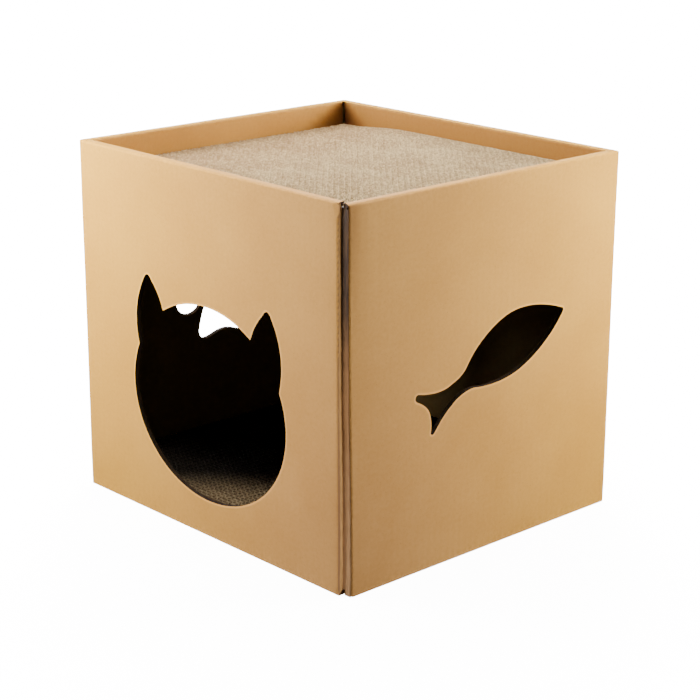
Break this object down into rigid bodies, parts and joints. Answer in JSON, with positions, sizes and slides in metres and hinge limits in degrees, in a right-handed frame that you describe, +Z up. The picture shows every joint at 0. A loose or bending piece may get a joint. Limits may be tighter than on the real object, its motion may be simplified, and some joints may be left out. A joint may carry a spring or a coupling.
{
  "type": "cat house",
  "caption": "Square cardboard cat house with a cat-head door, fish and paw windows, and a scratch pad set into its open top tray",
  "frame": {"origin": "Middle of the underside, on the floor.", "axes": "+Z is up, -Y is the front with the cat-head door, +X is the side with the fish window."},
  "size_m": [0.412, 0.374, 0.38],
  "materials": {
    "kraft_board": "matte",
    "pad_board": "matte"
  },
  "bodies": {
    "house": {"cat_wall": "kraft_board", "cat_wall_rim": "kraft_board", "cat_wall_inner_lip": "kraft_board", "cat_wall_tray_ledge": "kraft_board", "fish_wall": "kraft_board", "fish_wall_rim": "kraft_board", "fish_wall_inner_lip": "kraft_board", "fish_wall_tray_ledge": "kraft_board", "back_wall": "kraft_board", "back_wall_rim": "kraft_board", "back_wall_inner_lip": "kraft_board", "back_wall_tray_ledge": "kraft_board", "paw_wall": "kraft_board", "paw_wall_rim": "kraft_board", "paw_wall_inner_lip": "kraft_board", "paw_wall_tray_ledge": "kraft_board", "glue_tab": "kraft_board", "shelf_board": "kraft_board"},
    "cat_flap": {"cat_wall_floor_flap": "kraft_board"},
    "fish_flap": {"fish_wall_floor_flap": "kraft_board"},
    "back_flap": {"back_wall_floor_flap": "kraft_board"},
    "paw_flap": {"paw_wall_floor_flap": "kraft_board"},
    "top_pad": {"top_scratch_pad": "pad_board"},
    "floor_pad": {"floor_scratch_pad": "pad_board", "floor_board": "kraft_board"}
  },
  "joints": [
    {"name": "cat_flap_hinge", "type": "hinge", "parent": "house", "child": "cat_flap", "pos_m": [0, -0.187, 0], "axis": [-1, 0, 0], "range_deg": [0, 180]},
    {"name": "fish_flap_hinge", "type": "hinge", "parent": "house", "child": "fish_flap", "pos_m": [0.206, 0, 0], "axis": [0, -1, 0], "range_deg": [0, 180]},
    {"name": "back_flap_hinge", "type": "hinge", "parent": "house", "child": "back_flap", "pos_m": [0, 0.187, 0], "axis": [1, 0, 0], "range_deg": [0, 180]},
    {"name": "paw_flap_hinge", "type": "hinge", "parent": "house", "child": "paw_flap", "pos_m": [-0.206, 0, 0], "axis": [0, 1, 0], "range_deg": [0, 180]},
    {"name": "top_pad_lift", "type": "slide", "parent": "house", "child": "top_pad", "axis": [0, 0, 1], "range_m": [0, 0.06]},
    {"name": "floor_pad_lift", "type": "slide", "parent": "house", "child": "floor_pad", "axis": [0, 0, 1], "range_m": [0, 0.28]}
  ]
}
